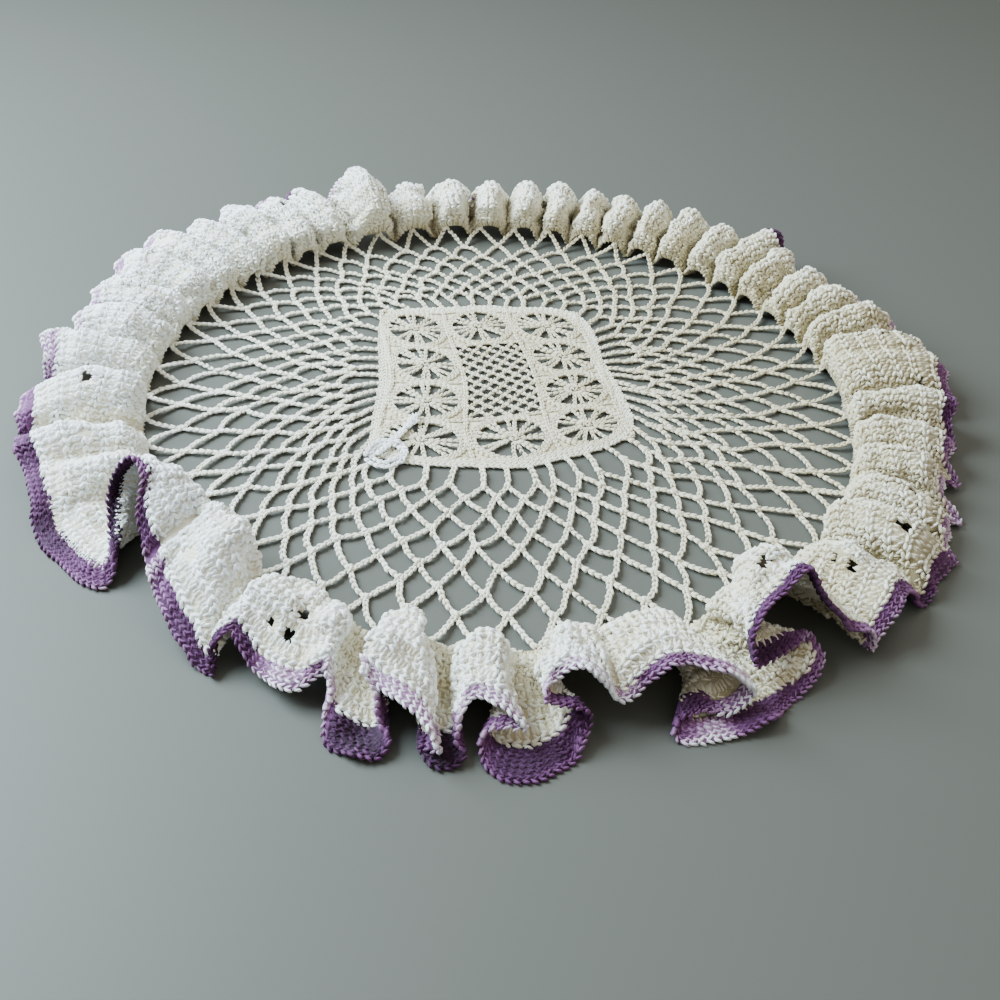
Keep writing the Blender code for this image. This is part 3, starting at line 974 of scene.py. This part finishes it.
# One corner of the panel stands up off the table round a small hole, bright white. Each line of chain
# there runs from one spot to another (mm), bows to its left and is so high (mm).
Tuck = namedtuple("Tuck", "startX startY endX endY bow height")
tucks = [Tuck(*row) for row in (
    (-50, -50, -36, -19, -1.5, 2.6),
    (-48, -50.5, -34.5, -20, -1, 3.6),
    (-46.5, -44, -34, -24, 0.5, 3.4),
    (-51.5, -50, -41, -43, 4, 3.2),
    (-51.5, -50, -40, -50, -4, 2.6),
    (-41, -43, -40, -50.5, 2, 3),
    (-53, -52, -40, -41, 5, 3.9),
    (-53, -52, -38, -52, -4.5, 2.4),
    (-40, -41, -38, -52, 2, 3),
)]
tuckChain = {"steps": 12, "tone": 1.0, "size": 1.1}


def makeTuckedCorner():
    strands = Strands()
    share = np.linspace(0, 1, tuckChain["steps"])[:, None]
    for tuck in tucks:
        start, end = np.array([tuck.startX, tuck.startY]), np.array([tuck.endX, tuck.endY])
        side = unit(np.array([start[1] - end[1], end[0] - start[0]]))
        line = start * (1 - share) + end * share + side * tuck.bow * np.sin(np.pi * share)
        path = np.hstack([line, 0 * share + tuck.height]) * mm
        chainAlong(strands, path, tuckChain["tone"], tuckChain["size"])
    return strands.build("tuckedCorner", cotton, chainStrand, "tone")


def closeSheet(name, points, faces, thick, material, key, marks):
    # A sheet of cloth from its points and faces, given its thickness and closed all round.
    item = makeMesh(name, points, faces, material, key, marks)
    deselectAll()
    bpy.context.view_layer.objects.active = item
    item.select_set(True)
    thicken = item.modifiers.new("thickness", "SOLIDIFY")
    thicken.thickness = thick
    thicken.offset = 0
    bpy.ops.object.modifier_apply(modifier=thicken.name)
    return item


panelSheet = {"step": 10, "lap": 0.5 * mm, "below": 0.55 * mm, "thick": 0.6 * mm, "tone": -0.21}


def makePanelCloth():
    # The close work between the flowers and round the panel, as a thin cloth under its stitches.
    degrees = np.arange(0, 360, panelSheet["step"])
    count = len(degrees)
    circle = polar(1.0, degrees)
    bands = []
    halfBlock = np.array([panel["wide"], panel["deep"]]) / 2
    for middle in flowerMiddles():
        inner = panelPath(middle + circle * (flower["rings"][0] - panelSheet["lap"]))
        outer = panelPath(middle + circle / np.max(np.abs(circle) / halfBlock, axis=1, keepdims=True))
        bands.append((inner, outer))
    inner = panelPath(circle / np.max(np.abs(circle) / (halfWide, halfDeep), axis=1, keepdims=True))
    outer = panelEdge(degrees + math.degrees(panel["turn"]))
    bands.append((inner, np.column_stack([outer, inner[:, 2]])))
    points = np.concatenate([side for band in bands for side in band])
    points[:, 2] -= panelSheet["below"]
    here = np.arange(count)
    ahead = (here + 1) % count
    ring = np.stack([here, ahead, ahead + count, here + count], axis=1)
    faces = np.concatenate([ring + 2 * count * number for number in range(len(bands))])
    # The cloth shows only between the stitches; it is painted darker than they are, as painted shade in the
    # gaps, over the net's tone and painted light.
    tone = netToneWithPaintedLight(points) + panelSheet["tone"]
    return closeSheet("panelCloth", points, faces, panelSheet["thick"], cotton, "tone", tone)


flowerPanel = makePanel()
tuckedCorner = makeTuckedCorner()
panelCloth = makePanelCloth()
print("flower panel is worked")


def onCloth(grid, places, share):
    # Reads a grid of the cloth at places round it, counted in sections, and at one share across it.
    count = len(grid)
    low = np.floor(places).astype(int)
    part = (places - low)[:, None]
    column = share * ruffle["stepsAcross"]
    inner = min(int(column), ruffle["stepsAcross"] - 1)
    rest = column - inner
    line = grid[:, inner] * (1 - rest) + grid[:, inner + 1] * rest
    return line[low % count] * (1 - part) + line[(low + 1) % count] * part


def rowPlaces(share, pitch, start=0.0):
    # Places of the stitches of one row, evenly along it.
    every = np.arange(len(cloth) + 1.0)
    line = onCloth(cloth, every, share)
    reach = np.concatenate([[0], np.cumsum(np.linalg.norm(np.diff(line, axis=0), axis=1))])
    count = round(reach[-1] / pitch)
    return np.interp((np.arange(count) + start) / count * reach[-1], reach, every)


def clothFrame(places, share):
    # Middle, direction along the row, direction across it and facing, for each place.
    spots = onCloth(cloth, places, share)
    up = unit(onCloth(facing, places, share))
    along = unit(onCloth(alongCloth, places, share))
    over = unit(np.cross(along, up))
    heads = np.einsum("ij,ij->i", over, onCloth(overCloth, places, share))
    over = over * np.where(heads < 0, -1, 1)[:, None]
    return spots, along, over, up


# Weights of the cloth's tone: the base and the edge are the yarn's own colour, while left, height and crest
# paint light and shade into it.
clothToneAndPaintedLight = {
    "base": 0.32,
    "left": 0.30,
    "leftFront": 0.35,
    "leftReach": 190 * mm,
    "edge": 0.18,
    "height": 0.22,
    "fullHeight": 24 * mm,
    "crest": 0.34,
    "fullCrest": 6 * mm,
}


def clothToneWithPaintedLight(spots, share, stand):
    # Whiter by the free edge, where the yarn itself is whiter. The rest is painted light and shade: painted
    # shade low down, in creases and at the right, and painted light at the left, where the window light
    # falls, and on the crests.
    left = np.clip((-spots[:, 0] - clothToneAndPaintedLight["leftFront"] * spots[:, 1]) / clothToneAndPaintedLight["leftReach"], -1, 1)
    height = np.clip(spots[:, 2] / clothToneAndPaintedLight["fullHeight"], 0, 1)
    crest = np.clip(stand / clothToneAndPaintedLight["fullCrest"], -1, 1)
    tone = clothToneAndPaintedLight["base"] + clothToneAndPaintedLight["left"] * left + clothToneAndPaintedLight["edge"] * share**2
    return tone + clothToneAndPaintedLight["height"] * height + clothToneAndPaintedLight["crest"] * crest


# A double crochet: two strands lie side by side in its post, one wraps round it and two more lie in a V
# along its top. Each strand has its share of the row's depth, how far its middle is off the post's own
# line (mm), how it slants from the way it runs (degrees), its length, its width and how far it is raised
# (mm), and whether it runs across the row.
Part = namedtuple("Part", "share across slant length width raised crosswise")
postParts = (
    Part(0.30, -0.55, -6, 4.4, 1.4, 0.0, True),
    Part(0.36, 0.55, 8, 4.4, 1.4, 0.05, True),
    Part(0.64, 0.0, 36, 3.2, 1.3, 0.35, True),
    Part(0.90, -0.55, -24, 4.0, 1.55, 0.5, False),
    Part(0.98, 0.55, 24, 4.0, 1.55, 0.5, False),
)
rows = {
    "count": 8,
    "pitch": 3.1 * mm,
    "thick": 1.9 * mm,
    "spacedAt": 0.9,
    "scatter": 0.12 * mm,
    "slantVaries": 0.08,
    "postVaries": 0.05,
    "strandVaries": 0.04,
    "raisedPaintedLight": 0.2,
}


# Small open eyelets in the stitches: where each lies, seen from above (degrees, and radius in mm).
Eyelet = namedtuple("Eyelet", "degrees radius")
eyelets = [Eyelet(*row) for row in (
    (-168, 173),
    (-163, 186),
    (-161, 178),
    (-156, 172),
    (-126, 172),
    (-113, 175),
    (-111, 178),
    (-110, 168),
    (-55, 162),
    (-42, 170),
    (-41, 162),
    (-31, 180),
    (-22, 176),
    (-14, 168),
    (3, 183),
    (12, 176),
    (14, 188),
    (38, 170),
    (133, 172),
    (151, 180),
    (161, 174),
)]
eyelet = {"clear": 2.3 * mm, "reach": 3 * mm}


def eyeletSpots():
    # The highest point of the cloth over each eyelet's place.
    spots = []
    for place in eyelets:
        away = np.linalg.norm(cloth[..., :2] - polar(place.radius * mm, place.degrees), axis=2)
        near = cloth[away < eyelet["reach"]]
        spots.append(near[np.argmax(near[:, 2])])
    return np.array(spots)


eyeletPoints = eyeletSpots()


def awayFromEyelets(points):
    return np.min(np.linalg.norm(points[:, None] - eyeletPoints, axis=2), axis=1)


# Where the dye has run in past the edging: from one root to another (degrees), and from what share outwards.
Run = namedtuple("Run", "start end share")
runs = [Run(*row) for row in (
    (-150.5, -138.5, 0.85),
    (-107, -102, 0.81),
    (-96.5, -93, 0.81),
    (-87, -82.5, 0.81),
    (-66.5, -62, 0.84),
    (-61.5, -58.5, 0.84),
)]


def bled(places, share):
    root = np.interp(places, np.arange(len(sections)), sections[:, 0])
    dyedFrom = ruffle["clothEnd"] + 0 * root
    for run in runs:
        along = np.clip((root - run.start) / (run.end - run.start), 0, 1)
        deep = np.minimum(ruffle["runTaper"] * np.sin(np.pi * along), 1)
        dyedFrom -= (ruffle["clothEnd"] - run.share) * deep
    return share > dyedFrom


def makeRuffleRows(name, first, last):
    strands = Strands()
    deep = ruffle["clothEnd"] / rows["count"]
    for row in range(first, last):
        places = rowPlaces(deep * (row + rows["spacedAt"]), rows["pitch"], 0.5 * (row % 2))
        mark = chance.normal(0, rows["postVaries"], len(places))
        for part in postParts:
            share = deep * (row + part.share)
            spots, along, over, up = clothFrame(places, share)
            ahead, aside = (over, along) if part.crosswise else (along, over)
            slant = math.radians(part.slant) + chance.normal(0, rows["slantVaries"], (len(places), 1))
            direction = ahead * np.cos(slant) + aside * np.sin(slant)
            middles = spots + (along if part.crosswise else over) * part.across * mm + up * part.raised * mm
            middles = middles + chance.normal(0, rows["scatter"], spots.shape)
            tone = clothToneWithPaintedLight(spots, share, onCloth(proud, places, share)[:, 0]) + mark
            # Raised strands are painted lighter and deeper ones darker: painted light and shade from the
            # stitch's relief.
            tone = tone + rows["raisedPaintedLight"] * part.raised
            tone = tone + chance.normal(0, rows["strandVaries"], len(places))
            length, width = part.length * mm, part.width * mm
            kept = (awayFromEyelets(middles) > eyelet["clear"]) & ~bled(places, share)
            frame = (middles[kept], direction[kept], up[kept])
            strands.add(*frame, length, width, rows["thick"], tone[kept])
    return strands.build(name, cotton, clothStrand, "tone")


ruffleRows = [
    makeRuffleRows(name, 2 * pair, 2 * pair + 2)
    for pair, name in enumerate(("rowsByRim", "rowsInner", "rowsOuter", "rowsByEdge"))
]


backing = {
    "step": 2,
    "thick": 0.6 * mm,
    "bandThick": 0.7 * mm,
    "paintedGapShade": 0.35,
    "paintedShadeDyeShare": 0.9,
    "paintedShadeDyeBelow": 0.15,
}


def makeSheet(name, dyed, thick, material, key, marks):
    # A thin backing of cloth on the folds: the dyed part of it, or the rest.
    around, deep = np.arange(0, len(cloth), backing["step"]), ruffle["stepsAcross"] + 1
    index = np.arange(len(around) * deep).reshape(len(around), deep)
    ahead = np.roll(index, -1, axis=0)
    faces = np.stack([index[:, :-1], index[:, 1:], ahead[:, 1:], ahead[:, :-1]], axis=-1).reshape(-1, 4)
    share = np.tile((np.arange(deep - 1) + 0.5) / (deep - 1), len(around))
    inDye = (share > ruffle["clothEnd"]) | bled(np.repeat(around, deep - 1), share)
    points = cloth[:: backing["step"]].reshape(-1, 3)
    whole = awayFromEyelets(points[faces].mean(axis=1)) > eyelet["clear"]
    used, faces = np.unique(faces[whole & (inDye == dyed)], return_inverse=True)
    faces, marks = faces.reshape(-1, 4), marks[:: backing["step"]].ravel()[used]
    return closeSheet(name, points[used], faces, thick, material, key, marks)


# The backing shows only in the gaps between the stitches, so it is painted darker than they are: painted
# shade in the gaps, over the cloth's tone and painted light.
backingToneWithPaintedShade = clothToneWithPaintedLight(cloth.reshape(-1, 3), np.tile(acrossShares, len(cloth)), proud.ravel())
backingToneWithPaintedShade = backingToneWithPaintedShade.reshape(len(cloth), -1) - backing["paintedGapShade"]
# The edging band shows only between its stitches; its dye is painted darker, towards dark plum, as painted
# shade in the gaps.
bandDyeWithPaintedShade = backing["paintedShadeDyeShare"] * sections[:, 5, None] - backing["paintedShadeDyeBelow"] + 0 * acrossShares
ruffleCloth = makeSheet("ruffleCloth", False, backing["thick"], cotton, "tone", backingToneWithPaintedShade)
print("ruffle is worked")


edging = {
    "rowShares": (0.823, 0.851, 0.879, 0.907, 0.935, 0.963, 0.992),
    "pitch": 2.7 * mm,
    "length": 3.6 * mm,
    "width": 1.15 * mm,
    "runWidth": 1.5 * mm,
    "thick": 2.0 * mm,
    "slant": math.radians(27),
    "slantVaries": 0.1,
    "spread": 0.5 * mm,
    "scatter": 0.1 * mm,
    "drift": 14,
    "uneven": 0.06,
    "dyeVaries": 0.035,
    "lip": 0.10,
    "lipFrom": 5,
}


def makeEdging():
    # Each row of stitches is a braid of strands in a V. The dye drifts softly along it, and the outer rows
    # and the outer strand of each V are paler.
    strands = Strands()
    count = len(sections)
    knots = chance.normal(0, edging["uneven"], count // edging["drift"])
    atKnots = np.linspace(0, count, len(knots), endpoint=False)
    every = np.arange(count)
    dyes = sections[:, 5] + np.interp(every, atKnots, knots, period=count)
    for row, share in enumerate(edging["rowShares"]):
        places = rowPlaces(share, edging["pitch"], 0.5 * (row % 2))
        width = edging["width"]
        if share < ruffle["clothEnd"]:
            places, width = places[bled(places, share)], edging["runWidth"]
        spots, along, over, up = clothFrame(places, share)
        dye = np.interp(places, every, dyes, period=count)
        for hand in (-1, 1):
            slant = hand * edging["slant"] + chance.normal(0, edging["slantVaries"], (len(places), 1))
            direction = along * np.cos(slant) + over * np.sin(slant)
            middles = spots + over * hand * edging["spread"]
            middles = middles + chance.normal(0, edging["scatter"], spots.shape)
            marks = dye + chance.normal(0, edging["dyeVaries"], len(places))
            marks = marks + edging["lip"] * (max(row - edging["lipFrom"], -1) + 0.5 * hand)
            strands.add(middles, direction, up, edging["length"], width, edging["thick"], marks)
    return strands.build("edgingStitches", dyedCotton, clothStrand, "dye")


edgingStitches = makeEdging()
edgingBand = makeSheet("edgingBand", True, backing["bandThick"], dyedCotton, "dye", bandDyeWithPaintedShade)
print("edging is worked")


for node, slot, pieces in (
    ("net", "white_cotton", (laceNet, flowerPanel, tuckedCorner, panelCloth)),
    ("ruffle", "white_cotton", (ruffleCloth, *ruffleRows)),
    ("edging", "purple_cotton", (edgingStitches, edgingBand)),
):
    for piece in pieces:
        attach(piece, "root")
        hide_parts(node)

blockArea = panel["wide"] * panel["deep"] - math.pi * flower["rings"][0] ** 2
panelArea = len(list(flowerMiddles())) * blockArea + 4 * (halfWide + halfDeep) * panel["border"]
